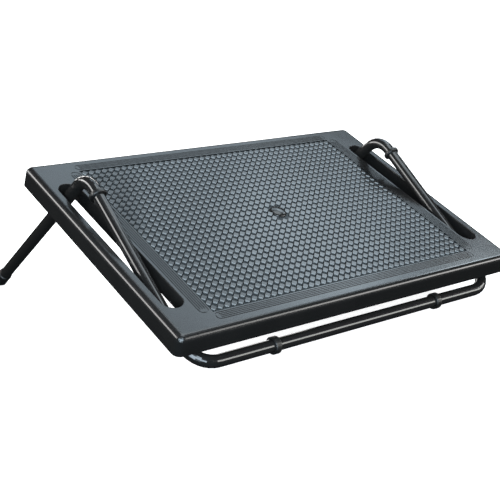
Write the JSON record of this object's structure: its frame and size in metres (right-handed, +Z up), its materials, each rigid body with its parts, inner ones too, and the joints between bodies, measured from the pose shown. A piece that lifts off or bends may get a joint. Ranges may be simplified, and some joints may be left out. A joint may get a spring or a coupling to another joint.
{
  "type": "laptop stand",
  "caption": "Tilting laptop stand: a moulded deck with side slots over a bent tube frame with rubber feet, adjustable from steep to level.",
  "frame": {"origin": "on the desk under the middle of the whole part", "axes": "+Z up from the desk, +X to the right along the width, +Y to the rear, where the deck is high"},
  "size_m": [0.43, 0.386, 0.1478],
  "materials": {
    "deck_plastic": "satin black moulded plastic, with raised pads",
    "frame_paint": "gloss black enamel on steel tube",
    "rubber": "matte black rubber"
  },
  "bodies": {
    "frame": {"tube_frame": "frame_paint", "bar_ring_left": "rubber", "bar_ring_right": "rubber", "rear_cap_left": "rubber", "rear_cap_right": "rubber"},
    "deck": {"deck": "deck_plastic"},
    "stop_left": {"stop_ring_left": "rubber"},
    "stop_right": {"stop_ring_right": "rubber"}
  },
  "joints": [
    {"name": "deck_tilt", "type": "hinge", "parent": "frame", "child": "deck", "pos_m": [0, -0.04411, -0.04539], "axis": [1, 0, 0], "range_deg": [-23, 0]},
    {"name": "stop_slide_left", "type": "slide", "parent": "frame", "child": "stop_left", "axis": [0, -0.7644, -0.6448], "range_m": [0, 0.04]},
    {"name": "stop_slide_right", "type": "slide", "parent": "frame", "child": "stop_right", "axis": [0, -0.7644, -0.6448], "range_m": [0, 0.04]}
  ]
}
